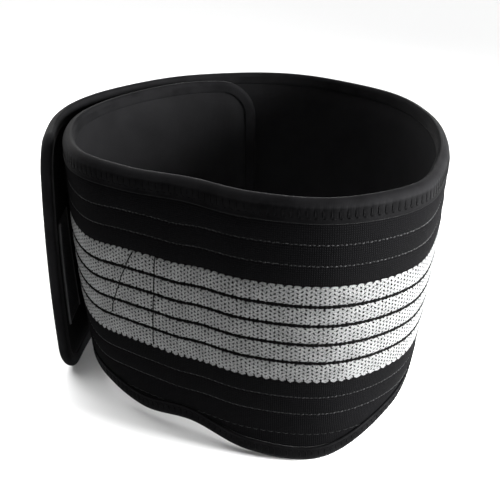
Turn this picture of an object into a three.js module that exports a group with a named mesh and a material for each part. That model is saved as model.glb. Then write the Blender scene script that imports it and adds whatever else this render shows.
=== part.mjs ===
import * as THREE from 'three';

// Back support belt, fastened into a ring and standing on its lower edge, in millimetres with +Z up.
// The wall is one padded strip. It starts with a free end inside the ring, runs once round it
// anticlockwise seen from above, and ends in a flap that overlaps the start on the outside.

// Thicknesses, measured outwards from the padded strip's outer face
const paddingThickness = 5;
const elasticThickness = 2;
const ribSwell = 0.7;
const grooveDepth = 0.5;
const tapeThickness = 1.5;
const hookThickness = 1.6;
const seatGap = 0.3;

// Rolled edge: a tape folded round the strip's rim
const tapeReach = 10;
const crownDepth = 4.6;
const crownShoulder = 1.4;
const crownFlat = 5;

// Elastic ribs, by their depth below the top edge
const ribPitch = 13.2;
const ribShoulder = 2.2;
const firstGroove = 12.6;
const secondGroove = 26.6;
const silverTop = 53;
const silverRibs = 5;
const lowerRibs = 2;
const leastRowGap = 0.8;
const backRows = 4;

// The ribs flatten under the tape at the strip's ends
const swellStart = 12;
const swellRun = 8;

// How far the wall bows outwards between its two edges
const wallBow = 3;

// Ends of the strip
const innerCorner = 30;
const flapCorner = 24;
const cornerSteps = 6;
const endSteps = 6;
const regularSteps = 52;
const paddingRows = 7;

// Hook strip inside the flap
const hookWidth = 32;
const hookTop = 64;
const hookHeight = 82;
const hookEndMargin = 12;

// Where the rows below are measured from, which puts the belt's footprint round the origin
const ringCentre = { x: 4.4, y: -3.7 };

// One row for about each 20 degrees of the strip, from its inner end to the flap: the padded
// strip's outer face, as a radius and a height at the top edge and at the lower edge.
const wallRows = [
  { angle: 88, topRadius: 130, topHeight: 185, lowRadius: 122, lowHeight: 10 },
  { angle: 110, topRadius: 130, topHeight: 186, lowRadius: 122, lowHeight: 10 },
  { angle: 130, topRadius: 129.5, topHeight: 186, lowRadius: 121, lowHeight: 10 },
  { angle: 150, topRadius: 129.5, topHeight: 186, lowRadius: 120, lowHeight: 11 },
  { angle: 170, topRadius: 129.5, topHeight: 186, lowRadius: 119, lowHeight: 11 },
  { angle: 190, topRadius: 127, topHeight: 186, lowRadius: 119, lowHeight: 12 },
  { angle: 210, topRadius: 125.5, topHeight: 186, lowRadius: 119.5, lowHeight: 14.5 },
  { angle: 230, topRadius: 116.5, topHeight: 186, lowRadius: 115, lowHeight: 8 },
  { angle: 250, topRadius: 112.5, topHeight: 186, lowRadius: 114.5, lowHeight: 10 },
  { angle: 270, topRadius: 130, topHeight: 186, lowRadius: 128.5, lowHeight: 2 },
  { angle: 290, topRadius: 148, topHeight: 186, lowRadius: 142.5, lowHeight: 1.5 },
  { angle: 310, topRadius: 152.5, topHeight: 186, lowRadius: 141.5, lowHeight: 21 },
  { angle: 330, topRadius: 140, topHeight: 186, lowRadius: 129.5, lowHeight: 31 },
  { angle: 350, topRadius: 134, topHeight: 186, lowRadius: 121, lowHeight: 30 },
  { angle: 370, topRadius: 134.5, topHeight: 187, lowRadius: 121, lowHeight: 24 },
  { angle: 390, topRadius: 137, topHeight: 188, lowRadius: 126, lowHeight: 12 },
  { angle: 410, topRadius: 140, topHeight: 188, lowRadius: 130, lowHeight: 3 },
  { angle: 430, topRadius: 144, topHeight: 188, lowRadius: 134, lowHeight: -0.6 },
  { angle: 450, topRadius: 147, topHeight: 188, lowRadius: 136, lowHeight: -0.6 },
  { angle: 470, topRadius: 146.5, topHeight: 188, lowRadius: 136, lowHeight: -0.6 },
  { angle: 490, topRadius: 145, topHeight: 188, lowRadius: 135, lowHeight: -0.6 },
  { angle: 510, topRadius: 144.5, topHeight: 188, lowRadius: 134, lowHeight: -0.6 },
  { angle: 530, topRadius: 144, topHeight: 187, lowRadius: 135.5, lowHeight: -0.6 },
  { angle: 557, topRadius: 143, topHeight: 186, lowRadius: 147, lowHeight: -0.6 },
];

function polarPoint(degrees, radius, height) {
  const angle = THREE.MathUtils.degToRad(degrees);
  const x = ringCentre.x + radius * Math.cos(angle);
  const y = ringCentre.y + radius * Math.sin(angle);
  return new THREE.Vector3(x, y, height);
}

function edgeCurve(points) {
  const stepsPerRow = 40;
  const curve = new THREE.CatmullRomCurve3(points, false, 'catmullrom');
  curve.arcLengthDivisions = stepsPerRow * points.length;
  return curve;
}

const topCurve = edgeCurve(wallRows.map((row) => polarPoint(row.angle, row.topRadius, row.topHeight)));
const lowCurve = edgeCurve(wallRows.map((row) => polarPoint(row.angle, row.lowRadius, row.lowHeight)));
const stripLength = topCurve.getLength();

// A point of the wall: distance along the top edge from the inner end, depth below that edge down
// the wall, and offset outwards. What would reach below the floor is flattened on it.
function wallPoint(distance, depth, offset) {
  const t = topCurve.getUtoTmapping(0, distance);
  const top = topCurve.getPoint(t);
  const down = lowCurve.getPoint(t).sub(top);
  const share = depth / down.length();
  const along = topCurve.getTangent(t).lerp(lowCurve.getTangent(t), share);
  const outward = down.clone().cross(along).normalize();
  const bow = wallBow * 4 * share * (1 - share);
  const point = top.addScaledVector(down, share).addScaledVector(outward, offset + bow);
  point.z = Math.max(0, point.z);
  return point;
}

function wallHeight(distance) {
  const t = topCurve.getUtoTmapping(0, distance);
  return topCurve.getPoint(t).distanceTo(lowCurve.getPoint(t));
}

function lowerSlope(distance) {
  const reach = 2;
  const before = Math.max(0, distance - reach);
  const after = Math.min(stripLength, distance + reach);
  return (wallHeight(after) - wallHeight(before)) / (after - before);
}

const sewnInset = crownDepth + seatGap;
const tapeEnd = tapeReach + seatGap;

// Stations along the strip. Each gives its distance, the depths where the sewn layers begin and end
// inside the folded tape, the depths where the tape leaves them bare, and how far the ribs swell.
function stripStationList() {
  const stations = [];
  const swellAt = (fromEnd) => THREE.MathUtils.clamp((fromEnd - swellStart) / swellRun, 0, 1);
  const cornerStation = (centre, corner, side, angle) => {
    const across = (corner - sewnInset) * Math.cos(angle);
    const distance = centre + side * across;
    const sunk = corner - (corner - sewnInset) * Math.sin(angle);
    const bareSquare = (corner - tapeEnd) ** 2 - across ** 2;
    const bare = bareSquare > 0 ? corner - Math.sqrt(bareSquare) : sunk + tapeEnd - sewnInset;
    const height = wallHeight(distance);
    stations.push({
      distance, top: sunk, low: height - sunk, bareTop: bare, bareLow: height - bare,
      swell: swellAt(corner - across),
    });
  };
  const start = innerCorner;
  const finish = stripLength - flapCorner;
  const quarter = Math.PI / 2;
  for (let i = 0; i <= cornerSteps; i++) {
    cornerStation(start, innerCorner, -1, (i / cornerSteps) * quarter);
  }
  for (let i = 1; i < regularSteps; i++) {
    const distance = THREE.MathUtils.lerp(start, finish, i / regularSteps);
    const height = wallHeight(distance);
    const steepness = Math.hypot(1, lowerSlope(distance));
    stations.push({
      distance, top: sewnInset, low: height - sewnInset * steepness,
      bareTop: tapeEnd, bareLow: height - tapeEnd * steepness, swell: 1,
    });
  }
  for (let i = cornerSteps; i >= 0; i--) {
    cornerStation(finish, flapCorner, 1, (i / cornerSteps) * quarter);
  }
  return stations;
}

// A closed solid through sections that each list the same number of points, in the same order.
// The flat outline closes its two ends, and a loop has none.
function loftSolid(sections, endOutline) {
  const size = sections[0].length;
  const isLoop = !endOutline;
  const spans = isLoop ? sections.length : sections.length - 1;
  const index = [];
  for (let i = 0; i < spans; i++) {
    const here = i * size;
    const next = ((i + 1) % sections.length) * size;
    for (let j = 0; j < size; j++) {
      const k = (j + 1) % size;
      index.push(here + j, next + k, next + j, here + j, here + k, next + k);
    }
  }
  if (!isLoop) {
    const last = (sections.length - 1) * size;
    for (const [a, b, c] of THREE.ShapeUtils.triangulateShape(endOutline, [])) {
      index.push(a, b, c, last + a, last + c, last + b);
    }
  }
  const geometry = new THREE.BufferGeometry();
  const positions = sections.flat().flatMap((point) => point.toArray());
  geometry.setAttribute('position', new THREE.Float32BufferAttribute(positions, 3));
  geometry.setIndex(index);
  geometry.computeVertexNormals();
  return geometry;
}

// A panel of the wall. outlineAt gives its section at a station as depths and offsets, starting on
// the outer face and going down it, then back up the inner face.
function panelSolid(stations, outlineAt) {
  const sections = stations.map((station) => (
    outlineAt(station).map(({ depth, offset }) => wallPoint(station.distance, depth, offset))
  ));
  const endOutline = outlineAt(stations[0]).map(({ depth, offset }) => new THREE.Vector2(offset, -depth));
  return loftSolid(sections, endOutline);
}

function evenRows(top, low, count, offset) {
  return Array.from({ length: count }, (_, i) => (
    { depth: THREE.MathUtils.lerp(top, low, i / (count - 1)), offset }
  ));
}

// Depths and offsets down the outer face of elastic ribs that lie between the grooves listed.
const elasticInner = seatGap;
const elasticOuter = elasticInner + elasticThickness;
function ribRows(grooves, swell) {
  const groove = elasticOuter - grooveDepth * swell;
  const crest = elasticOuter + ribSwell * swell;
  const rows = [];
  for (let i = 0; i + 1 < grooves.length; i++) {
    rows.push({ depth: grooves[i], offset: groove });
    rows.push({ depth: grooves[i] + ribShoulder, offset: crest });
    rows.push({ depth: grooves[i + 1] - ribShoulder, offset: crest });
  }
  rows.push({ depth: grooves.at(-1), offset: groove });
  return rows;
}

function closeBehind(rows) {
  const innerRows = evenRows(rows.at(-1).depth, rows[0].depth, backRows, elasticInner);
  return [...rows, ...innerRows];
}

const stripStations = stripStationList();
const silverLow = silverTop + silverRibs * ribPitch;

function paddingSolid() {
  return panelSolid(stripStations, ({ top, low }) => [
    ...evenRows(top, low, paddingRows, 0),
    ...evenRows(low, top, paddingRows, -paddingThickness),
  ]);
}

function upperElasticSolid() {
  const grooves = [firstGroove, secondGroove, silverTop - ribPitch, silverTop - seatGap / 2];
  return panelSolid(stripStations, ({ top, bareTop, swell }) => {
    const rows = [
      { depth: top, offset: elasticOuter },
      { depth: bareTop, offset: elasticOuter },
      ...ribRows(grooves, swell),
    ];
    for (let i = 1; i < rows.length; i++) {
      rows[i].depth = Math.max(rows[i].depth, rows[i - 1].depth + leastRowGap);
    }
    return closeBehind(rows);
  });
}

function silverElasticSolid() {
  const grooves = Array.from({ length: silverRibs + 1 }, (_, i) => silverTop + i * ribPitch);
  grooves[0] += seatGap / 2;
  grooves[silverRibs] -= seatGap / 2;
  return panelSolid(stripStations, ({ swell }) => closeBehind(ribRows(grooves, swell)));
}

function lowerElasticSolid() {
  const fixedGrooves = Array.from({ length: lowerRibs + 1 }, (_, i) => silverLow + i * ribPitch);
  fixedGrooves[0] += seatGap / 2;
  return panelSolid(stripStations, ({ low, bareLow, swell }) => {
    const rows = [
      ...ribRows([...fixedGrooves, bareLow], swell).slice(0, -1),
      { depth: bareLow, offset: elasticOuter },
      { depth: low, offset: elasticOuter },
    ];
    for (let i = rows.length - 2; i >= 0; i--) {
      rows[i].depth = Math.min(rows[i].depth, rows[i + 1].depth - leastRowGap);
    }
    return closeBehind(rows);
  });
}

// The strip's rim as a loop of points in the flat: distance, depth, and the way inwards.
function rimLoop() {
  const rim = [];
  const corner = (centre, radius, from, to) => {
    for (let i = 0; i <= cornerSteps; i++) {
      const angle = THREE.MathUtils.lerp(from, to, i / cornerSteps);
      const across = Math.cos(angle);
      const upward = Math.sin(angle);
      const distance = centre + radius * across;
      const sunk = radius * (1 - Math.abs(upward));
      const isTop = from + to > 0;
      const depth = isTop ? sunk : wallHeight(distance) - sunk;
      rim.push({ distance, depth, inDistance: -across, inDepth: upward });
    }
  };
  const straightEnd = (distance, radius, inDistance, from, to) => {
    const span = wallHeight(distance) - 2 * radius;
    for (let i = 1; i < endSteps; i++) {
      const depth = radius + span * THREE.MathUtils.lerp(from, to, i / endSteps);
      rim.push({ distance, depth, inDistance, inDepth: 0 });
    }
  };
  const quarter = Math.PI / 2;
  const start = innerCorner;
  const finish = stripLength - flapCorner;
  const regular = stripStations.slice(cornerSteps + 1, -cornerSteps - 1).map((station) => station.distance);
  corner(start, innerCorner, 2 * quarter, quarter);
  regular.forEach((distance) => rim.push({ distance, depth: 0, inDistance: 0, inDepth: 1 }));
  corner(finish, flapCorner, quarter, 0);
  straightEnd(stripLength, flapCorner, -1, 0, 1);
  corner(finish, flapCorner, 0, -quarter);
  regular.reverse().forEach((distance) => {
    const inDepth = -Math.hypot(1, lowerSlope(distance));
    rim.push({ distance, depth: wallHeight(distance), inDistance: 0, inDepth });
  });
  corner(start, innerCorner, -quarter, -2 * quarter);
  straightEnd(0, innerCorner, 1, 1, 0);
  return rim;
}

// The folded tape's section: offset across the wall, and reach inwards from the rim.
function tapeSection() {
  const slotIn = -paddingThickness - seatGap;
  const slotOut = elasticOuter + seatGap;
  const faceIn = slotIn - tapeThickness;
  const faceOut = slotOut + tapeThickness;
  const middle = (faceIn + faceOut) / 2;
  return [
    { offset: faceIn, reach: crownDepth },
    { offset: faceIn + crownShoulder, reach: crownShoulder },
    { offset: middle - crownFlat / 2, reach: 0 },
    { offset: middle + crownFlat / 2, reach: 0 },
    { offset: faceOut - crownShoulder, reach: crownShoulder },
    { offset: faceOut, reach: crownDepth },
    { offset: faceOut, reach: tapeReach },
    { offset: slotOut, reach: tapeReach },
    { offset: slotOut, reach: crownDepth },
    { offset: slotIn, reach: crownDepth },
    { offset: slotIn, reach: tapeReach },
    { offset: faceIn, reach: tapeReach },
  ];
}

function edgeTapeSolid() {
  const section = tapeSection();
  const sections = rimLoop().map((rim) => section.map(({ offset, reach }) => (
    wallPoint(rim.distance + reach * rim.inDistance, rim.depth + reach * rim.inDepth, offset)
  )));
  return loftSolid(sections);
}

function hookSolid() {
  const far = stripLength - hookEndMargin;
  const near = far - hookWidth;
  const between = stripStations.filter(({ distance }) => distance > near && distance < far);
  const stations = [{ distance: near }, ...between, { distance: far }];
  const faceOut = -paddingThickness - seatGap;
  const low = hookTop + hookHeight;
  return panelSolid(stations, () => [
    ...evenRows(hookTop, low, paddingRows, faceOut),
    ...evenRows(low, hookTop, paddingRows, faceOut - hookThickness),
  ]);
}

const finishes = {
  padding: new THREE.MeshStandardMaterial({ color: 0x232325, roughness: 0.85, metalness: 0 }),
  blackElastic: new THREE.MeshStandardMaterial({ color: 0x1b1b1d, roughness: 0.9, metalness: 0 }),
  silverElastic: new THREE.MeshStandardMaterial({ color: 0xb4b6b8, roughness: 0.8, metalness: 0 }),
  edgeTape: new THREE.MeshStandardMaterial({ color: 0x2b2b2e, roughness: 0.75, metalness: 0 }),
  hook: new THREE.MeshStandardMaterial({ color: 0x101011, roughness: 0.95, metalness: 0 }),
};

const pieces = [
  { name: 'padded_strip', geometry: paddingSolid(), material: finishes.padding },
  { name: 'upper_elastic', geometry: upperElasticSolid(), material: finishes.blackElastic },
  { name: 'silver_elastic', geometry: silverElasticSolid(), material: finishes.silverElastic },
  { name: 'lower_elastic', geometry: lowerElasticSolid(), material: finishes.blackElastic },
  { name: 'edge_tape', geometry: edgeTapeSolid(), material: finishes.edgeTape },
  { name: 'hook_strip', geometry: hookSolid(), material: finishes.hook },
];

// The origin is on the floor, at the middle of the belt's footprint.
const belt = new THREE.Group();
for (const piece of pieces) {
  const mesh = new THREE.Mesh(piece.geometry, piece.material);
  mesh.name = piece.name;
  belt.add(mesh);
}

export default belt;
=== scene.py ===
import math

import bpy
import numpy as np
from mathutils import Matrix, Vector
from mathutils.kdtree import KDTree


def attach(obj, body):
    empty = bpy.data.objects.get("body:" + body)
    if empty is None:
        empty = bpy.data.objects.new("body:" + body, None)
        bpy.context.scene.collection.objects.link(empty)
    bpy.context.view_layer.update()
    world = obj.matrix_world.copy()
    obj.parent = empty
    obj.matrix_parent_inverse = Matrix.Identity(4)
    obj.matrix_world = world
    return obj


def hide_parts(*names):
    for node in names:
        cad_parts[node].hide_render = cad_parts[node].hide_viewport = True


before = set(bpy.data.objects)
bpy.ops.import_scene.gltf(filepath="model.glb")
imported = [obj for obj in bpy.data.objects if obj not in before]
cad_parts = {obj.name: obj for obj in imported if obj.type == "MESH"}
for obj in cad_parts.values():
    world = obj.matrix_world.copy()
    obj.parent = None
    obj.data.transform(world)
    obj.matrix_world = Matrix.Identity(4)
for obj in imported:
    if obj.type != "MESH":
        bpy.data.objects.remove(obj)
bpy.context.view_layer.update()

# Every piece is drawn flat, as it is cut and sewn, and is then wrapped round the ring.
# Flat pieces are in millimetres: x runs along the strip from its inner end, y is 0 at the top edge
# and falls going down the wall, z is 0 on the padding's outer face and rises outwards.
mm = 0.001
print("frame loaded, nodes:", len(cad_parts))


# Camera, at the photo's angle
photoView = {
    "lens": 57.6,
    "aim": (0.0044, -0.0218, 0.096),
    "elevation": 26,
    "distance": 0.588,
}


def addCamera():
    tilt = math.radians(photoView["elevation"])
    back = Vector((0, -math.cos(tilt), math.sin(tilt))) * photoView["distance"]
    place = Vector(photoView["aim"]) + back
    bpy.ops.object.camera_add(location=place, rotation=(math.pi / 2 - tilt, 0, 0))
    camera = bpy.context.object
    camera.data.lens = photoView["lens"]
    camera.data.sensor_fit = "HORIZONTAL"
    camera.data.clip_start = 0.01
    bpy.context.scene.camera = camera


addCamera()
print("camera placed")


# The wall that everything is wrapped round: the same rows as the solids have
wallShape = {
    "centre": (4.4, -3.7),
    "bow": 3,
    "innerCorner": 30,
    "flapCorner": 24,
    # angle in degrees, top radius, top height, lower radius, lower height
    "rows": (
        (88, 130, 185, 122, 10),
        (110, 130, 186, 122, 10),
        (130, 129.5, 186, 121, 10),
        (150, 129.5, 186, 120, 11),
        (170, 129.5, 186, 119, 11),
        (190, 127, 186, 119, 12),
        (210, 125.5, 186, 119.5, 14.5),
        (230, 116.5, 186, 115, 8),
        (250, 112.5, 186, 114.5, 10),
        (270, 130, 186, 128.5, 2),
        (290, 148, 186, 142.5, 1.5),
        (310, 152.5, 186, 141.5, 21),
        (330, 140, 186, 129.5, 31),
        (350, 134, 186, 121, 30),
        (370, 134.5, 187, 121, 24),
        (390, 137, 188, 126, 12),
        (410, 140, 188, 130, 3),
        (430, 144, 188, 134, -0.6),
        (450, 147, 188, 136, -0.6),
        (470, 146.5, 188, 136, -0.6),
        (490, 145, 188, 135, -0.6),
        (510, 144.5, 188, 134, -0.6),
        (530, 144, 187, 135.5, -0.6),
        (557, 143, 186, 147, -0.6),
    ),
}

# How finely the wall and its outline are measured out
measuring = {
    "wallSteps": 4001,
    "cornerSteps": 60,
    "edgeSteps": 2000,
    "endSteps": 200,
    "rimStep": 1.0,  # millimetres
    "rimReach": 4,  # steps to each side that give the rim's direction
}


def edgePoints(radius, height):
    angle = np.radians(wallRows[:, 0])
    x = wallShape["centre"][0] + radius * np.cos(angle)
    y = wallShape["centre"][1] + radius * np.sin(angle)
    points = np.column_stack((x, y, height))
    # One row more at each end, for the curve to start and stop on
    before = 2 * points[0] - points[1]
    after = 2 * points[-1] - points[-2]
    return np.vstack((before, points, after))


def unit(vectors):
    return vectors / np.linalg.norm(vectors, axis=-1, keepdims=True)


# Length run so far at each point of a line
def runAlong(points):
    return np.append(0, np.cumsum(np.linalg.norm(np.diff(points, axis=0), axis=1)))


# Smooth curve through the rows: its place and its direction
def curveAt(points, t):
    row = np.clip(t.astype(int), 0, len(points) - 4)
    w = (t - row)[:, None]
    a, b, c, d = (points[row + i] for i in range(4))
    leave = (c - a) / 2
    arrive = (d - b) / 2
    square = 3 * (c - b) - 2 * leave - arrive
    cube = 2 * (b - c) + leave + arrive
    place = b + w * (leave + w * (square + w * cube))
    along = leave + w * (2 * square + 3 * w * cube)
    return place, unit(along)


wallRows = np.array(wallShape["rows"], float)
topEdge = edgePoints(wallRows[:, 1], wallRows[:, 2])
lowEdge = edgePoints(wallRows[:, 3], wallRows[:, 4])
rowSteps = np.linspace(0, len(wallRows) - 1, measuring["wallSteps"])
rowRun = runAlong(curveAt(topEdge, rowSteps)[0])
stripLength = rowRun[-1]


def wallPoint(distance, depth, offset):
    t = np.interp(distance, rowRun, rowSteps)
    top, topAlong = curveAt(topEdge, t)
    low, lowAlong = curveAt(lowEdge, t)
    down = low - top
    share = (depth / np.linalg.norm(down, axis=1))[:, None]
    along = topAlong + (lowAlong - topAlong) * share
    outward = unit(np.cross(down, along))
    bow = wallShape["bow"] * 4 * share * (1 - share)  # whole at half the height
    points = top + down * share + outward * (offset[:, None] + bow)
    points[:, 2] = np.maximum(points[:, 2], 0)  # nothing goes through the floor
    return points


def stripHeight(distance):
    t = np.interp(distance, rowRun, rowSteps)
    return np.linalg.norm(curveAt(lowEdge, t)[0] - curveAt(topEdge, t)[0], axis=1)


def alongStrip(share, inset):
    return inset + share * (stripLength - 2 * inset)


# The strip's outline in the flat, clockwise from the top of its inner end
def stripOutline():
    quarter = np.linspace(0, np.pi / 2, measuring["cornerSteps"])
    inner = wallShape["innerCorner"]
    flap = wallShape["flapCorner"]
    finish = stripLength - flap
    run = np.linspace(inner, finish, measuring["edgeSteps"])[1:-1]

    def corner(centre, radius, side, angle, isTop):
        x = centre + side * radius * np.cos(angle)
        sunk = radius * (1 - np.sin(angle))
        y = -sunk if isTop else sunk - stripHeight(x)
        return np.column_stack((x, y))

    def endEdge(x, radius, isDown):
        height = stripHeight(np.array([x]))[0]
        y = -np.linspace(radius, height - radius, measuring["endSteps"])[1:-1]
        return np.column_stack((np.full(len(y), x), y if isDown else y[::-1]))

    return np.vstack((
        corner(inner, inner, -1, quarter, True),
        np.column_stack((run, np.zeros(len(run)))),
        corner(finish, flap, 1, quarter[::-1], True),
        endEdge(stripLength, flap, True),
        corner(finish, flap, 1, quarter, False),
        np.column_stack((run[::-1], -stripHeight(run[::-1]))),
        corner(inner, inner, -1, quarter[::-1], False),
        endEdge(0, inner, False),
    ))


outline = stripOutline()
outlineLoop = np.vstack((outline, outline[:1]))
outlineRun = runAlong(outlineLoop)
rimLength = outlineRun[-1]
rimCount = int(rimLength / measuring["rimStep"])
rimRun = np.linspace(0, rimLength, rimCount, endpoint=False)
rimPlace = np.column_stack([np.interp(rimRun, outlineRun, outlineLoop[:, i]) for i in range(2)])
rimReach = measuring["rimReach"]
rimAlong = np.roll(rimPlace, -rimReach, axis=0) - np.roll(rimPlace, rimReach, axis=0)
rimInward = unit(np.column_stack((rimAlong[:, 1], -rimAlong[:, 0])))

rimTree = KDTree(rimCount)
for i, (x, y) in enumerate(rimPlace):
    rimTree.insert((x, y, 0), i)
rimTree.balance()


def readRim(values, run):
    return np.column_stack([np.interp(run, rimRun, values[:, i], period=rimLength) for i in range(2)])


# To the flat strip from the rim's own strip, where x runs along the rim and y falls inwards from it
def rimToFlat(points):
    run = points[:, 0] % rimLength
    flat = readRim(rimPlace, run) - readRim(rimInward, run) * points[:, 1:2]
    return np.column_stack((flat, points[:, 2]))


def rimDistance(x, y):
    return np.array([rimTree.find((a, b, 0))[2] for a, b in zip(x, y)])


def smoothStep(value, low, high):
    share = np.clip((value - low) / (high - low), 0, 1)
    return share * share * (3 - 2 * share)


print("wall worked out, strip length", round(stripLength), "mm, rim", round(rimLength), "mm")


# Work on points and pieces
def readPoints(piece):
    points = np.empty(len(piece.data.vertices) * 3, np.float32)
    piece.data.vertices.foreach_get("co", points)
    return points.reshape(-1, 3).astype(float)


def writePoints(piece, points):
    piece.data.vertices.foreach_set("co", points.astype(np.float32).ravel())
    piece.data.update()


def selectOnly(piece):
    bpy.ops.object.select_all(action="DESELECT")
    piece.select_set(True)
    bpy.context.view_layer.objects.active = piece


# A grid, with each point's share of the way along it and down it
def addSheet(name, columns, rows):
    bpy.ops.object.select_all(action="DESELECT")
    bpy.ops.mesh.primitive_grid_add(x_subdivisions=columns, y_subdivisions=rows, size=1)
    piece = bpy.context.object
    piece.name = name
    share = readPoints(piece)[:, :2] + 0.5
    return piece, share[:, 0], 1 - share[:, 1]


def gridLine(share, count):
    return np.rint(share * count).astype(int)


def applyModifier(piece, kind, **settings):
    selectOnly(piece)
    modifier = piece.modifiers.new(kind.lower(), kind)
    for key, value in settings.items():
        setattr(modifier, key, value)
    bpy.ops.object.modifier_apply(modifier=modifier.name)


def thicken(piece, thickness):
    applyModifier(piece, "SOLIDIFY", thickness=thickness, offset=-1)


def repeat(piece, count, step, isWelded=False):
    applyModifier(
        piece,
        "ARRAY",
        count=count,
        use_relative_offset=False,
        use_constant_offset=True,
        constant_offset_displace=step,
        use_merge_vertices=isWelded,
        merge_threshold=0.01,
    )


def closeRoll(piece):
    selectOnly(piece)
    bpy.ops.object.mode_set(mode="EDIT")
    bpy.ops.mesh.select_all(action="SELECT")
    bpy.ops.mesh.remove_doubles(threshold=0.001)
    bpy.ops.mesh.select_all(action="DESELECT")
    bpy.ops.mesh.select_non_manifold()
    bpy.ops.mesh.fill_holes(sides=0)
    bpy.ops.mesh.select_all(action="SELECT")
    bpy.ops.mesh.normals_make_consistent(inside=False)
    bpy.ops.object.mode_set(mode="OBJECT")


def joinPieces(name, pieces):
    bpy.ops.object.select_all(action="DESELECT")
    for piece in pieces:
        piece.select_set(True)
    bpy.context.view_layer.objects.active = pieces[0]
    bpy.ops.object.join()
    pieces[0].name = name
    return pieces[0]


# The cloth's own map: its flat place in metres, so that a weave keeps its size all over
def layMap(piece, points):
    mesh = piece.data
    uvMap = mesh.uv_layers.active or mesh.uv_layers.new(name="UVMap")
    corner = np.empty(len(mesh.loops), np.int32)
    mesh.loops.foreach_get("vertex_index", corner)
    uvMap.data.foreach_set("uv", (points[corner, :2] * mm).astype(np.float32).ravel())


def wrapRound(piece):
    flat = readPoints(piece)
    writePoints(piece, wallPoint(flat[:, 0], -flat[:, 1], flat[:, 2]) * mm)


# Cloth gets its map while it is flat
def wrapCloth(piece):
    layMap(piece, readPoints(piece))
    wrapRound(piece)


def finishPiece(piece, material, slot, *nodes):
    selectOnly(piece)
    bpy.ops.object.shade_smooth()
    piece.data.materials.clear()
    piece.data.materials.append(material)
    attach(piece, "root")
    if nodes:
        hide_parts(*nodes)
    print("made", piece.name, "faces:", len(piece.data.polygons))


# Materials
def addNode(tree, kind, **settings):
    node = tree.nodes.new(kind)
    for key, value in settings.items():
        if key in node.inputs:
            node.inputs[key].default_value = value
        else:
            setattr(node, key, value)
    return node


def newFabric(name, look):
    material = bpy.data.materials.new(name)
    material.use_nodes = True
    shader = material.node_tree.nodes["Principled BSDF"]
    shader.inputs["Roughness"].default_value = look["roughness"]
    shader.inputs["Specular IOR Level"].default_value = look["specular"]
    shader.inputs["Sheen Weight"].default_value = look["sheen"]
    shader.inputs["Sheen Roughness"].default_value = 0.25
    return material, material.node_tree, shader


def mathNode(tree, operation, first, second):
    node = addNode(tree, "ShaderNodeMath", operation=operation)
    for socket, value in zip(node.inputs, (first, second)):
        if isinstance(value, (int, float)):
            socket.default_value = value
        else:
            tree.links.new(value, socket)
    return node.outputs[0]


def addShares(tree, first, firstShare, second, secondShare):
    firstPart = mathNode(tree, "MULTIPLY", first, firstShare)
    secondPart = mathNode(tree, "MULTIPLY", second, secondShare)
    return mathNode(tree, "ADD", firstPart, secondPart)


# Bands of thread across the cloth, a given number of metres apart, or 1.4 times that on a slant
def threadBands(tree, coordinate, direction, spacing, wobble):
    wave = addNode(
        tree,
        "ShaderNodeTexWave",
        bands_direction=direction,
        Scale=2 * math.pi / (20 * spacing),  # along an axis, the node's wave turns 20 radians in a unit
        Distortion=wobble,
        Detail=1.0,
    )
    wave.inputs["Detail Scale"].default_value = 0.6
    tree.links.new(coordinate, wave.inputs["Vector"])
    return wave.outputs["Fac"]


def weaveBands(tree, cloth, look):
    wales = threadBands(tree, cloth, "X", look["walePitch"], look["wobble"])
    courses = threadBands(tree, cloth, "Y", look["coursePitch"], look["wobble"])
    return mathNode(tree, "MULTIPLY", wales, courses)


def softNoise(tree, coordinate, size, detail):
    noise = addNode(tree, "ShaderNodeTexNoise", Scale=1 / size, Detail=detail, Roughness=0.6)
    tree.links.new(coordinate, noise.inputs["Vector"])
    return noise.outputs["Fac"]


def setRamp(ramp, span, colours):
    for stop, position, colour in zip(ramp.color_ramp.elements, span, colours):
        stop.position = position
        stop.color = (*colour, 1)


def paint(tree, shader, factor, look):
    ramp = addNode(tree, "ShaderNodeValToRGB")
    setRamp(ramp, look["span"], (look["dark"], look["light"]))
    tree.links.new(factor, ramp.inputs["Fac"])
    tree.links.new(ramp.outputs["Color"], shader.inputs["Base Color"])


def addRelief(tree, shader, height, look):
    bump = addNode(tree, "ShaderNodeBump", Strength=look["relief"], Distance=look["reliefDepth"])
    tree.links.new(height, bump.inputs["Height"])
    tree.links.new(bump.outputs["Normal"], shader.inputs["Normal"])


# What the finishes share. Pitches and depths are in metres, and a noise is its size and its detail.
clothLook = {"sheen": 0, "wobble": 0.8, "span": (0.25, 0.75)}

blackElasticLook = {
    **clothLook,
    "roughness": 0.85,
    "specular": 0.01,
    "walePitch": 0.001275,
    "coursePitch": 0.00132,
    "fuzz": (0.0009, 3),
    "reliefShare": 0.6,
    "dark": (0.001, 0.001, 0.0011),
    "light": (0.0038, 0.0038, 0.0041),
    "relief": 0.6,
    "reliefDepth": 0.0004,
}


def blackElasticFabric():
    look = blackElasticLook
    material, tree, shader = newFabric("blackElasticKnit", look)
    cloth = addNode(tree, "ShaderNodeUVMap").outputs["UV"]
    weave = weaveBands(tree, cloth, look)
    fuzz = softNoise(tree, cloth, *look["fuzz"])
    relief = mathNode(tree, "ADD", weave, fuzz)
    paint(tree, shader, mathNode(tree, "MULTIPLY", relief, look["reliefShare"]), look)
    addRelief(tree, shader, relief, look)
    return material


silverYarnLook = {
    **clothLook,
    "roughness": 0.5,
    "specular": 0.2,
    "sheen": 0.02,
    "fibre": (0.0007, 2),
    "fibreShare": 0.8,
    "patch": (0.012, 2),
    "patchShare": 0.2,
    "twistPitch": 0.0006,
    "twistWobble": 1.5,
    "dark": (0.022, 0.0225, 0.0225),
    "light": (0.185, 0.187, 0.187),
    "span": (0.36, 0.66),
    "relief": 0.5,
    "reliefDepth": 0.0002,
}


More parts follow.
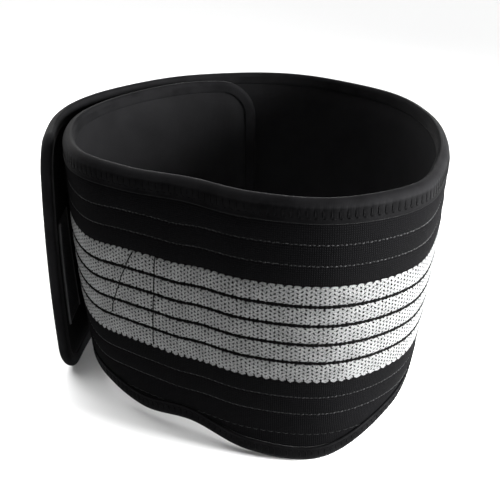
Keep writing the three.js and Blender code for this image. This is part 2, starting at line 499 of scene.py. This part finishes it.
def silverYarnFabric():
    look = silverYarnLook
    material, tree, shader = newFabric("silverYarn", look)
    cloth = addNode(tree, "ShaderNodeUVMap").outputs["UV"]
    fibre = softNoise(tree, cloth, *look["fibre"])
    patch = softNoise(tree, cloth, *look["patch"])
    twist = threadBands(tree, cloth, "DIAGONAL", look["twistPitch"], look["twistWobble"])
    paint(tree, shader, addShares(tree, fibre, look["fibreShare"], patch, look["patchShare"]), look)
    addRelief(tree, shader, mathNode(tree, "ADD", twist, fibre), look)
    return material


liningLook = {
    **clothLook,
    "roughness": 0.85,
    "specular": 0.02,
    "walePitch": 0.0011,
    "coursePitch": 0.0011,
    "nap": (0.0008, 4),
    "pileShare": 0.15,
    "patch": (0.03, 3),
    "patchShare": 0.7,
    "dark": (0.0052, 0.0052, 0.0055),
    "light": (0.0086, 0.0086, 0.0091),
    "relief": 0.35,
    "reliefDepth": 0.0003,
}


def liningFabric():
    look = liningLook
    material, tree, shader = newFabric("liningBrushedKnit", look)
    cloth = addNode(tree, "ShaderNodeUVMap").outputs["UV"]
    weave = weaveBands(tree, cloth, look)
    pile = mathNode(tree, "ADD", softNoise(tree, cloth, *look["nap"]), weave)
    patch = softNoise(tree, cloth, *look["patch"])
    paint(tree, shader, addShares(tree, patch, look["patchShare"], pile, look["pileShare"]), look)
    addRelief(tree, shader, pile, look)
    return material


yarnLook = {
    **clothLook,
    "roughness": 0.9,
    "specular": 0.03,
    "fibre": (0.0005, 2),
    "patch": (0.0005, 2),
    "relief": 0.4,
    "reliefDepth": 0.0002,
}
backingLook = {**yarnLook, "dark": (0.0015, 0.0015, 0.0016), "light": (0.004, 0.004, 0.0043)}
darkThreadLook = {**yarnLook, "dark": (0.0006, 0.0006, 0.0007), "light": (0.0018, 0.0018, 0.002)}
paleThreadLook = {
    **yarnLook,
    "roughness": 0.35,
    "specular": 0.06,
    "patch": (0.006, 2),
    "dark": (0.002, 0.002, 0.0021),
    "light": (0.018, 0.018, 0.0185),
}
hookWeaveLook = {
    **yarnLook,
    "roughness": 0.7,
    "dark": (0.012, 0.012, 0.0125),
    "light": (0.03, 0.03, 0.031),
}
selvedgeLook = {
    **yarnLook,
    "roughness": 0.6,
    "dark": (0.04, 0.04, 0.0415),
    "light": (0.075, 0.075, 0.078),
}


def plainYarn(name, look):
    material, tree, shader = newFabric(name, look)
    place = addNode(tree, "ShaderNodeTexCoord").outputs["Object"]
    fibre = softNoise(tree, place, *look["fibre"])
    patch = softNoise(tree, place, *look["patch"])
    paint(tree, shader, patch, look)
    addRelief(tree, shader, fibre, look)
    return material


blackKnit = blackElasticFabric()
silverYarn = silverYarnFabric()
liningKnit = liningFabric()
silverBacking = plainYarn("silverBackingKnit", backingLook)
paleThread = plainYarn("paleThread", paleThreadLook)
darkThread = plainYarn("darkThread", darkThreadLook)
hookWeave = plainYarn("hookTapeWeave", hookWeaveLook)
selvedgeWeave = plainYarn("hookSelvedgeWeave", selvedgeLook)
print("materials made")


# Depths of the rib lines, and where they dip along the strip
ribLines = {
    "upper": (12.6, 26.6, 39.8, 53),
    "silver": (53, 66.2, 79.4, 92.6, 105.8, 119),
    "lower": (119, 132.2, 145.4, 162),
    "dips": ((352, 16, 2.2), (286, 18, 1.8)),  # distance, spread, drop
}


def lineDip(distance):
    dips = ribLines["dips"]
    return sum(drop * np.exp(-(((distance - at) / spread) ** 2)) for at, spread, drop in dips)


def ribLift(depth, lines, roundness):
    lift = np.zeros(len(depth))
    for top, low in zip(lines[:-1], lines[1:]):
        share = np.clip((depth - top) / (low - top), 0, 1)
        lift = np.maximum(lift, np.sin(np.pi * share) ** roundness)
    return lift


# Depth of the strip's edge at each distance, a given way in from the rim
def insetTop(x, inset):
    top = np.full(len(x), float(inset))
    for radius, fromEnd in ((wallShape["innerCorner"], x), (wallShape["flapCorner"], stripLength - x)):
        across = np.clip(radius - fromEnd, 0, radius - inset)
        rounded = radius - np.sqrt((radius - inset) ** 2 - across**2)
        top = np.where(fromEnd < radius, np.maximum(top, rounded), top)
    return top


def insetLow(x, inset):
    reach = 2.0
    slope = (stripHeight(x + reach) - stripHeight(x - reach)) / (2 * reach)
    return stripHeight(x) - insetTop(x, inset) * np.hypot(1, slope)


# Padded strip: foam with a brushed lining, seen on the inside
padding = {
    "thickness": 5,
    "inset": 5.2,
    "columns": 374,
    "rows": 44,
    # spans are distances from the rim over which a change sets in or fades
    "puff": 0.5,
    "puffSpan": (11, 20),
    "ripple": 0.35,
    "rippleSpan": (14, 40),
    "rippleLengths": ((23, 31), (37, -19)),  # along the strip and across it
    "squeeze": 0.9,  # how much thinner the foam is under the edge tape
    "squeezeSpan": (9.5, 20),
}


def addPadding():
    piece, along, down = addSheet("padded_strip_lining", padding["columns"], padding["rows"])
    inset = padding["inset"]
    x = alongStrip(along, inset)
    top = insetTop(x, inset)
    depth = top + down * (insetLow(x, inset) - top)
    writePoints(piece, np.column_stack((x, -depth, np.zeros(len(x)))))
    thicken(piece, padding["thickness"])
    flat = readPoints(piece)
    isLining = flat[:, 2] < -padding["thickness"] / 2
    edge = rimDistance(flat[:, 0], flat[:, 1])
    puff = smoothStep(edge, *padding["puffSpan"]) * padding["puff"]
    waves = sum(np.sin(flat[:, 0] / a + flat[:, 1] / b) for a, b in padding["rippleLengths"])
    ripple = padding["ripple"] * waves
    squeeze = padding["squeeze"] * (1 - smoothStep(edge, *padding["squeezeSpan"]))
    fullness = puff - squeeze + ripple * smoothStep(edge, *padding["rippleSpan"])
    flat[:, 2] -= np.where(isLining, fullness, 0)
    writePoints(piece, flat)
    layMap(piece, flat)
    wrapRound(piece)
    finishPiece(piece, liningKnit, "lining", "padded_strip")


# Elastic bands
elastic = {
    "inset": 5.2,
    "columns": 450,
    "thickness": 1.5,
    "groove": 1.75,
    "crest": 3.0,
    "underTape": 2.15,
    "bareSpan": (12.5, 18),  # how far from the rim the ribs start to rise and are whole
    "roundness": 0.4,
    "rowShares": (0, 0.025, 0.07, 0.15, 0.3, 0.5, 0.7, 0.85, 0.93, 0.975),
    "hemRows": 4,
    "tailRows": 6,
    "straightTo": 20,  # rows above this depth don't dip
    "rowGap": 0.1,  # least gap between rows where a corner cuts them off
}


def elasticOffset(x, depth, lines):
    lift = ribLift(depth - lineDip(x), lines, elastic["roundness"])
    offset = elastic["groove"] + (elastic["crest"] - elastic["groove"]) * lift
    bare = smoothStep(rimDistance(x, -depth), *elastic["bareSpan"])
    return elastic["underTape"] + (offset - elastic["underTape"]) * bare


def rowsBetween(lines):
    ribs = zip(lines[:-1], lines[1:])
    rows = [top + (low - top) * share for top, low in ribs for share in elastic["rowShares"]]
    return np.array([*rows, lines[-1]])


def addElasticBand(name, rows, place, lines):
    piece, along, down = addSheet(name, elastic["columns"], len(rows) - 1)
    x = alongStrip(along, elastic["inset"])
    depth = place(x, gridLine(down, len(rows) - 1))
    writePoints(piece, np.column_stack((x, -depth, elasticOffset(x, depth, lines))))
    thicken(piece, elastic["thickness"])
    wrapCloth(piece)
    return piece


def addUpperElastic():
    lines = ribLines["upper"]
    hem = np.linspace(elastic["inset"], lines[0], elastic["hemRows"])[:-1]
    rows = np.concatenate((hem, rowsBetween(lines)))

    def place(x, row):
        depth = rows[row] + lineDip(x) * (rows[row] > elastic["straightTo"])
        return np.maximum(depth, insetTop(x, elastic["inset"]) + row * elastic["rowGap"])

    piece = addElasticBand("upper_elastic_band", rows, place, lines)
    finishPiece(piece, blackKnit, "black_elastic", "upper_elastic")
    return piece


def addLowerElastic():
    lines = ribLines["lower"]
    tail = elastic["tailRows"]
    fixed = rowsBetween(lines)
    rows = np.concatenate((fixed, np.full(tail, fixed[-1])))

    def place(x, row):
        low = insetLow(x, elastic["inset"])
        inTail = np.clip(row - len(fixed) + 1, 0, tail) / tail
        fromLine = rows[row] + lineDip(x)
        depth = fromLine + np.maximum(low - fromLine, 0) * inTail
        return np.minimum(depth, low - (len(rows) - 1 - row) * elastic["rowGap"])

    piece = addElasticBand("lower_elastic_band", rows, place, lines)
    finishPiece(piece, blackKnit, "black_elastic", "lower_elastic")
    return piece


# Silver band: a dark backing, the open knit over it, and dark cords in its grooves
backing = {"columns": 300, "thickness": 0.8, "sunk": 0.55}


def silverOffset(x, depth):
    return elasticOffset(x, depth, ribLines["silver"]) - backing["sunk"]


def addSilverBacking():
    rows = rowsBetween(ribLines["silver"])
    piece, along, down = addSheet("silver_band_backing", backing["columns"], len(rows) - 1)
    x = alongStrip(along, elastic["inset"])
    depth = rows[gridLine(down, len(rows) - 1)] + lineDip(x)
    writePoints(piece, np.column_stack((x, -depth, silverOffset(x, depth))))
    thicken(piece, backing["thickness"])
    wrapCloth(piece)
    finishPiece(piece, silverBacking, "silver_elastic", "silver_elastic")
    return piece


knit = {
    "walePitch": 2.55,
    "coursePitch": 2.64,
    "courses": 25,
    "endMargin": 2,
    # one repeat is a grid: its cells each way, each line's wale and side of it, and the open cells
    "repeatGrid": 4,
    "columnWales": (0, 0, 1, 1, 2),
    "columnSides": (-1, 1, -1, 1, -1),
    "holes": ((0, 0), (0, 1), (2, 2), (2, 3)),
    "holeHalf": 0.6,
    "holeEnds": 0.55,
    "holeMiddle": 1.15,
    "slant": 0.3,
    "crossing": 0.14,
    "overBacking": 0.5,
    "underTape": 0.3,  # share of that lift under the edge tape
    "bareSpan": (12, 16),  # from the rim
    "edgeReach": 0.1,  # points this near the knit's top or foot are on its edge
    "scallop": 0.6,
    "lowScallop": 1.3,
    "lowLift": 0.95,
    "unevenness": 0.14,
    "seed": 5,
}


# One repeat of the knit is two wales wide and one course tall.
# It has a hole beside each wale, and the two are half a course apart.
def addKnitCell():
    grid = knit["repeatGrid"]
    piece, along, down = addSheet("silver_knit", grid, grid)
    column = gridLine(along, grid)
    row = gridLine(down, grid)
    half = knit["holeHalf"] * np.where(row % 2, knit["holeMiddle"], knit["holeEnds"])
    centre = np.array(knit["columnWales"])[column] * knit["walePitch"]
    side = np.array(knit["columnSides"])[column]
    x = centre + side * half + knit["slant"] * np.cos(math.pi * row / 2)
    isFirstWale = column % grid < 2
    isCrossing = (isFirstWale & (row == 3)) | (~isFirstWale & (row == 1))
    z = np.where(isCrossing, knit["crossing"], 0)
    selectOnly(piece)
    for face in piece.data.polygons:
        corners = list(face.vertices)
        face.select = (min(column[corners]), min(row[corners])) in knit["holes"]
    writePoints(piece, np.column_stack((x, -down * knit["coursePitch"], z)))
    bpy.context.tool_settings.mesh_select_mode = (False, False, True)
    bpy.ops.object.mode_set(mode="EDIT")
    bpy.ops.mesh.delete(type="FACE")
    bpy.ops.mesh.select_mode(type="VERT")
    bpy.ops.object.mode_set(mode="OBJECT")
    return piece


def addKnit():
    piece = addKnitCell()
    width = 2 * knit["walePitch"]
    start = elastic["inset"] + knit["endMargin"]
    repeat(piece, knit["courses"], (0, -knit["coursePitch"], 0), True)
    repeat(piece, int((stripLength - 2 * start) / width), (width, 0, 0), True)
    flat = readPoints(piece)
    x = flat[:, 0] + start
    down = -flat[:, 1]
    # The knit's top and foot are drawn into lobes, one to a repeat
    lobe = np.cos(2 * math.pi * flat[:, 0] / width)
    isFirst = down < knit["edgeReach"]
    isLast = down > knit["courses"] * knit["coursePitch"] - knit["edgeReach"]
    topLobe = np.where(isFirst, knit["scallop"] * lobe, 0)
    lowLobe = np.where(isLast, knit["lowScallop"] * (1 + lobe) / 2, 0)
    down += topLobe + lowLobe
    uneven = np.random.default_rng(knit["seed"]).normal(0, knit["unevenness"], (len(x), 2))
    x = x + uneven[:, 0]
    depth = ribLines["silver"][0] + down + lineDip(x) + uneven[:, 1]
    bare = smoothStep(rimDistance(x, -depth), *knit["bareSpan"])
    lift = knit["overBacking"] * (knit["underTape"] + (1 - knit["underTape"]) * bare)
    lift = lift + np.where(isLast, knit["lowLift"], 0)
    writePoints(piece, np.column_stack((x, -depth, silverOffset(x, depth) + lift + flat[:, 2])))
    wrapCloth(piece)
    finishPiece(piece, silverYarn, "silver_elastic")
    return piece


# A yarn along a route of distances and depths, lying on the silver band
def addYarn(name, distance, depth, radius, lift, flatness=1):
    sides = 5
    piece, along, around = addSheet(name, len(distance) - 1, sides)
    row = gridLine(along, len(distance) - 1)
    turn = around * 2 * math.pi
    route = np.column_stack((distance, depth))
    across = unit(np.gradient(route, axis=0))[:, ::-1] * (-1, 1)
    spot = route[row] + across[row] * (radius[row] * np.cos(turn))[:, None]
    rise = silverOffset(route[:, 0], route[:, 1]) + lift
    z = rise[row] + flatness * radius[row] * np.sin(turn)
    writePoints(piece, np.column_stack((spot[:, 0], -spot[:, 1], z)))
    closeRoll(piece)
    return piece


grooveCord = {
    "radius": 1.5,
    "step": 0.65,
    "lift": 1.0,
    "flatness": 0.45,
    "endMargin": 2,
    "bareSpan": (12, 18),  # from the strip's ends
    "thinning": 0.7,  # share of its radius that a cord loses under the edge tape
    "ragged": 0.55,
    "quickWave": 2.3,
    "slowWave": 0.83,
    "slowShare": 0.6,
}


def addGrooveCords():
    margin = elastic["inset"] + grooveCord["endMargin"]
    x = np.arange(margin, stripLength - margin, grooveCord["step"])
    underTape = 1 - smoothStep(np.minimum(x, stripLength - x), *grooveCord["bareSpan"])
    thinning = 1 - grooveCord["thinning"] * underTape
    slowShare = grooveCord["slowShare"]
    cords = []
    for number, line in enumerate(ribLines["silver"][1:-1]):
        quick = np.sin(x * grooveCord["quickWave"] + number)
        slow = np.sin(x * grooveCord["slowWave"] + 2 * number)
        ragged = grooveCord["ragged"] * (quick + slowShare * slow) / (1 + slowShare)
        radius = (grooveCord["radius"] + ragged) * thinning
        depth = line + lineDip(x)
        cord = addYarn("groove_cord", x, depth, radius, grooveCord["lift"], grooveCord["flatness"])
        cords.append(cord)
    piece = joinPieces("silver_groove_cords", cords)
    wrapRound(piece)
    finishPiece(piece, darkThread, "black_elastic")
    return piece


# Painted crease shade: thin dark yarns along two creases that cross the silver band, as distances and
# depths
creaseShade = {
    "radius": 0.46,
    "steps": 60,
    "routes": (
        ((337.5, 52.5), (336.5, 66), (335.5, 80), (334.5, 93), (333.6, 106), (333, 119.5)),
        ((321.5, 53.5), (317, 62), (311, 74), (305.5, 87), (301.5, 96), (299.5, 104)),
    ),
}


def addCreaseShade():
    yarns = []
    for route in creaseShade["routes"]:
        points = np.array(route, float)
        share = np.linspace(0, len(points) - 1, creaseShade["steps"])
        x = np.interp(share, np.arange(len(points)), points[:, 0])
        depth = np.interp(share, np.arange(len(points)), points[:, 1])
        radius = np.full(len(x), creaseShade["radius"])
        # each crease's shade is painted on as a dark yarn lying on the band
        yarns.append(addYarn("crease_shade", x, depth, radius, knit["overBacking"]))
    piece = joinPieces("silver_crease_shade", yarns)
    wrapRound(piece)
    finishPiece(piece, darkThread, "black_elastic")
    return piece


# A stitch is a grain of thread, modelled once and copied along a line
def addGrain(name, halfSizes):
    bpy.ops.object.select_all(action="DESELECT")
    bpy.ops.mesh.primitive_ico_sphere_add(subdivisions=1, radius=1)
    piece = bpy.context.object
    piece.name = name
    writePoints(piece, readPoints(piece) * halfSizes)
    return piece


ribStitch = {
    "pitch": 2.5,
    "halfSizes": (1.4, 0.95, 0.5),
    "lift": 0.12,
    "zigzag": 0.4,
    "endMargin": 8,
    "tapeReach": 13.5,  # nearer the rim than this, a stitch is sunk under the edge tape
    "sunkOffset": 0.9,
    # band, which of its rib lines, and how full the thread is
    "rows": (
        ("upper", 1, 1),
        ("upper", 2, 1),
        ("lower", 1, 1),
        ("lower", 2, 1),
        ("lower", 3, 0.28),
    ),
}


def addRibStitches():
    rows = []
    start = elastic["inset"] + ribStitch["endMargin"]
    count = int((stripLength - 2 * start) / ribStitch["pitch"])
    for band, number, fullness in ribStitch["rows"]:
        piece = addGrain("rib_stitch", np.array(ribStitch["halfSizes"]) * (1, fullness, fullness))
        repeat(piece, count, (ribStitch["pitch"], 0, 0))
        flat = readPoints(piece)
        x = start + flat[:, 0]
        middle = ribLines[band][number] + lineDip(x)
        zigzag = ribStitch["zigzag"] * np.cos(math.pi * np.rint(flat[:, 0] / ribStitch["pitch"]))
        depth = middle - flat[:, 1] + zigzag
        offset = elasticOffset(x, middle, ribLines[band]) + ribStitch["lift"] + flat[:, 2]
        isHidden = rimDistance(x, -middle) < ribStitch["tapeReach"]
        offset = np.where(isHidden, ribStitch["sunkOffset"], offset)
        writePoints(piece, np.column_stack((x, -depth, offset)))
        rows.append(piece)
    piece = joinPieces("rib_stitches", rows)
    wrapRound(piece)
    finishPiece(piece, paleThread, "black_elastic")
    return piece


# Rolled edge: a jersey tape folded over the rim and overlocked on its outer face
tape = {
    "stitchPitch": 4.4,
    "stitchShares": (0, 0.16, 0.4, 0.6, 0.84),
    "puff": (-0.16, 0, 0.04, 0.04, 0),
    # where the stitches pull the tape in: between these reaches from the rim, past this offset
    "pullFrom": (2.4, 4),
    "pullTo": (10.4, 11.4),
    "pullOffset": 2.6,
    # slow waves of the crown: height, number round the rim and start
    "waves": ((0.25, 24, 0), (0.2, 14, 1)),
    "waveSpan": (2, 6),
    # offsets of the crown's two sides and its peak, and how far the sides reach in from the rim
    "inner": -5.1,
    "peak": -2.6,
    "outer": 3.25,
    "innerDepth": 3.4,
    "outerDepth": 7.2,
    "innerSteps": 5,
    "outerSteps": 8,
    "squareness": 0.9,
    # offset and reach in from the rim, from the crown down the outer face and back up the inside
    "outerFace": (
        (3.2, 8),
        (3.1, 9.4),
        (3.0, 11),
        (3.05, 11.8),
        (3.4, 12.5),
        (3.35, 13.1),
        (2.9, 13.5),
        (2.2, 13.5),
    ),
    "slot": ((2.2, 9), (2.2, 4.7), (-4.25, 4.7), (-4.25, 8)),
    "innerFace": ((-4.4, 9.4), (-4.8, 9.3), (-5.05, 8.6), (-5.1, 7.4), (-5.1, 6.2)),
}
tapeStitches = round(rimLength / tape["stitchPitch"])
tapePitch = rimLength / tapeStitches

tapeLook = {
    **clothLook,
    "roughness": 0.7,
    "specular": 0.012,
    "sheen": 0.05,
    "walePitch": 0.0009,
    "coursePitch": 0.0008,
    "wobble": 0.6,
    "patch": (0.02, 3),
    "patchBase": 0.2,
    "dark": (0.0009, 0.0009, 0.001),
    "light": (0.0062, 0.0062, 0.0066),
    "relief": 0.35,
    "reliefDepth": 0.00025,
    # the stitched part is darker: millimetres along the section from the inside of the crown
    "stitchedFrom": 12.5,
    "stitchedTo": 23.5,
    "stitchedFade": 1,
    "stitchedShade": (0.56, 0.56, 0.56),
    "rampSpan": 62,  # what the ramp covers, more than the section's girth
}


def tapeFabric():
    look = tapeLook
    material, tree, shader = newFabric("edgeTapeJersey", look)
    cloth = addNode(tree, "ShaderNodeUVMap").outputs["UV"]
    weave = weaveBands(tree, cloth, look)
    patch = softNoise(tree, cloth, *look["patch"])
    across = addNode(tree, "ShaderNodeSeparateXYZ")
    tree.links.new(cloth, across.inputs[0])
    span = look["rampSpan"]
    fadeFrom = (look["stitchedFrom"] - look["stitchedFade"]) / span
    fadeTo = (look["stitchedTo"] + look["stitchedFade"]) / span
    white = (1, 1, 1)
    zone = addNode(tree, "ShaderNodeValToRGB")
    setRamp(zone, (fadeFrom, fadeTo), (white, white))
    for position in (look["stitchedFrom"], look["stitchedTo"]):
        zone.color_ramp.elements.new(position / span).color = (*look["stitchedShade"], 1)
    tree.links.new(mathNode(tree, "DIVIDE", across.outputs["Y"], span * mm), zone.inputs["Fac"])
    patch = mathNode(tree, "ADD", patch, look["patchBase"])
    paint(tree, shader, mathNode(tree, "MULTIPLY", patch, zone.outputs["Color"]), look)
    addRelief(tree, shader, weave, look)
    return material


# The crown is highest near its inside and slopes down to the outer face
def tapeCrown(side, depth, steps):
    angle = np.linspace(0, math.pi / 2, steps)
    squareness = tape["squareness"]
    offset = tape["peak"] + (side - tape["peak"]) * np.abs(np.cos(angle)) ** squareness
    return np.column_stack((offset, depth * (1 - np.sin(angle) ** squareness)))


def tapeOuterFace():
    outerCrown = tapeCrown(tape["outer"], tape["outerDepth"], tape["outerSteps"])[::-1]
    return np.vstack((outerCrown, tape["outerFace"]))


def tapeSection():
    innerCrown = tapeCrown(tape["inner"], tape["innerDepth"], tape["innerSteps"])[:-1]
    return np.vstack((innerCrown, tapeOuterFace(), tape["slot"], tape["innerFace"]))


def addTape():
    section = tapeSection()
    perStitch = len(tape["stitchShares"])
    columns = tapeStitches * perStitch
    piece, along, around = addSheet("edge_tape_roll", columns, len(section))
    column = gridLine(along, columns)
    row = gridLine(around, len(section))
    run = (column // perStitch + np.array(tape["stitchShares"])[column % perStitch]) * tapePitch
    offset, reach = section[row % len(section)].T
    isOuter = offset > tape["pullOffset"]
    pulled = smoothStep(reach, *tape["pullFrom"]) * (1 - smoothStep(reach, *tape["pullTo"])) * isOuter
    puff = np.array(tape["puff"])[column % perStitch]
    turn = 2 * math.pi * run / rimLength
    soft = sum(height * np.sin(count * turn + start) for height, count, start in tape["waves"])
    crown = 1 - smoothStep(reach, *tape["waveSpan"])
    offset = offset + puff * pulled
    reach = reach + soft * crown
    girth = runAlong(np.vstack((section, section[:1])))
    layMap(piece, np.column_stack((run, girth[row])))
    writePoints(piece, rimToFlat(np.column_stack((run, -reach, offset))))
    closeRoll(piece)
    wrapRound(piece)
    finishPiece(piece, tapeFabric(), "edge_tape", "edge_tape")
    return piece


overlock = {
    "bar": (0.58, 3.1, 0.42),
    "foot": (1.3, 0.5, 0.36),
    "barReach": 7.5,
    "footReach": 10.3,
    "sunk": 0.1,
}


def addOverlock():
    bar = addGrain("overlock_bar", overlock["bar"])
    writePoints(bar, readPoints(bar) + (0, -overlock["barReach"], 0))
    foot = addGrain("overlock_foot", overlock["foot"])
    writePoints(foot, readPoints(foot) + (overlock["foot"][0], -overlock["footReach"], 0))
    piece = joinPieces("edge_overlock", [bar, foot])
    repeat(piece, tapeStitches, (tapePitch, 0, 0))
    points = readPoints(piece)
    faces = tapeOuterFace()
    points[:, 2] += np.interp(-points[:, 1], faces[:, 1], faces[:, 0]) - overlock["sunk"]
    writePoints(piece, rimToFlat(points))
    wrapRound(piece)
    finishPiece(piece, darkThread, "edge_tape")
    return piece


# Hook tape inside the flap
hooks = {
    "width": 31,
    "height": 82,
    "top": 64,
    "endMargin": 12,
    "back": -5.3,
    "thickness": 1.2,
    "columns": 22,
    "rows": 40,
}
hookLeft = stripLength - hooks["endMargin"] - hooks["width"]
hookFace = hooks["back"] - hooks["thickness"]


def addHookStrip():
    piece, along, down = addSheet("hook_strip_tape", hooks["columns"], hooks["rows"])
    x = hookLeft + along * hooks["width"]
    y = -hooks["top"] - down * hooks["height"]
    writePoints(piece, np.column_stack((x, y, np.full(len(x), hooks["back"]))))
    thicken(piece, hooks["thickness"])
    wrapCloth(piece)
    finishPiece(piece, hookWeave, "hook_tape", "hook_strip")
    return piece


hookGrain = {
    "halfSizes": (0.5, 0.5, 0.7),
    "pitch": 2.2,
    "bareWidth": 8,  # width and height of the tape that have no hooks
    "bareHeight": 4,
    "first": (4.5, 2.5),  # from the tape's left edge and its top
    "stand": 0.2,
}


def addHookField():
    piece = addGrain("hook_field", hookGrain["halfSizes"])
    pitch = hookGrain["pitch"]
    columns = int((hooks["width"] - hookGrain["bareWidth"]) / pitch)
    rows = int((hooks["height"] - hookGrain["bareHeight"]) / pitch)
    repeat(piece, columns, (pitch, 0, 0))
    repeat(piece, rows, (0, -pitch, 0))
    left = hookLeft + hookGrain["first"][0]
    top = -hooks["top"] - hookGrain["first"][1]
    writePoints(piece, readPoints(piece) + (left, top, hookFace - hookGrain["stand"]))
    wrapCloth(piece)
    finishPiece(piece, hookWeave, "hook_tape")
    return piece


selvedge = {"width": 2.4, "crown": 0.5, "sunk": 0.4, "thickness": 0.5, "columns": 4}


def addSelvedges():
    pieces = []
    half = selvedge["width"] / 2
    for middle in (hookLeft + half, hookLeft + hooks["width"] - half):
        piece, along, down = addSheet("hook_selvedge", selvedge["columns"], hooks["rows"])
        x = middle + (along - 0.5) * selvedge["width"]
        y = -hooks["top"] - down * hooks["height"]
        z = hookFace - selvedge["crown"] * np.sin(math.pi * along) + selvedge["sunk"]
        writePoints(piece, np.column_stack((x, y, z)))
        thicken(piece, selvedge["thickness"])
        pieces.append(piece)
    piece = joinPieces("hook_selvedges", pieces)
    wrapCloth(piece)
    finishPiece(piece, selvedgeWeave, "hook_tape")
    return piece


addPadding()
upperBand = addUpperElastic()
lowerBand = addLowerElastic()
silverBack = addSilverBacking()
silverKnit = addKnit()
grooveCords = addGrooveCords()
creaseShadeLines = addCreaseShade()
ribThreads = addRibStitches()
edgeRoll = addTape()
edgeThreads = addOverlock()
hookTape = addHookStrip()
hookField = addHookField()
hookEdges = addSelvedges()

# Floor and studio light
studio = {
    "floorSize": 80,
    "floorDrop": 0.0002,
    "floorColour": (0.93, 0.93, 0.93),
    "floorRoughness": 0.9,
    # the sky goes from the first colour to the second between these heights
    "skySpan": (0.1, 0.3),
    "skyColours": ((0.93, 0.93, 0.93), (0.16, 0.16, 0.16)),
    "keyRight": {
        "place": (0.82, -0.27, 0.265),
        "aim": (0.05, -0.05, 0.1),
        "size": 0.45,
        "power": 24,
        "spread": 110,
    },
    "backFill": {
        "place": (-0.65, 0.8, 0.55),
        "aim": (0, 0, 0.1),
        "size": 0.8,
        "power": 6,
        "spread": 120,
    },
    "top": {"from": (-0.3, 0.3, 1), "strength": 2.9, "softness": 60},
}


def addFloor():
    bpy.ops.object.select_all(action="DESELECT")
    bpy.ops.mesh.primitive_plane_add(size=studio["floorSize"], location=(0, 0, -studio["floorDrop"]))
    floor = bpy.context.object
    floor.name = "floor"
    material = bpy.data.materials.new("paleFloor")
    material.use_nodes = True
    shader = material.node_tree.nodes["Principled BSDF"]
    shader.inputs["Base Color"].default_value = (*studio["floorColour"], 1)
    shader.inputs["Roughness"].default_value = studio["floorRoughness"]
    floor.data.materials.append(material)


def addLights():
    for name in ("keyRight", "backFill"):
        lamp = studio[name]
        bpy.ops.object.light_add(type="AREA", location=lamp["place"])
        light = bpy.context.object
        light.name = name
        light.data.size = lamp["size"]
        light.data.energy = lamp["power"]
        light.data.spread = math.radians(lamp["spread"])
        direction = Vector(lamp["aim"]) - Vector(lamp["place"])
        light.rotation_euler = direction.to_track_quat("-Z", "Y").to_euler()

    top = studio["top"]
    bpy.ops.object.light_add(type="SUN")
    light = bpy.context.object
    light.name = "topSoft"
    light.data.energy = top["strength"]
    light.data.angle = math.radians(top["softness"])
    light.rotation_euler = Vector(top["from"]).to_track_quat("Z", "Y").to_euler()


def addSky():
    world = bpy.data.worlds.new("studioWorld")
    world.use_nodes = True
    tree = world.node_tree
    direction = addNode(tree, "ShaderNodeTexCoord").outputs["Generated"]
    height = addNode(tree, "ShaderNodeSeparateXYZ")
    tree.links.new(direction, height.inputs[0])
    sky = addNode(tree, "ShaderNodeValToRGB")
    setRamp(sky, studio["skySpan"], studio["skyColours"])
    tree.links.new(height.outputs["Z"], sky.inputs["Fac"])
    tree.links.new(sky.outputs["Color"], tree.nodes["Background"].inputs["Color"])
    bpy.context.scene.world = world
    bpy.context.scene.view_settings.view_transform = "Standard"


addFloor()
addLights()
addSky()
print("floor and lights set")
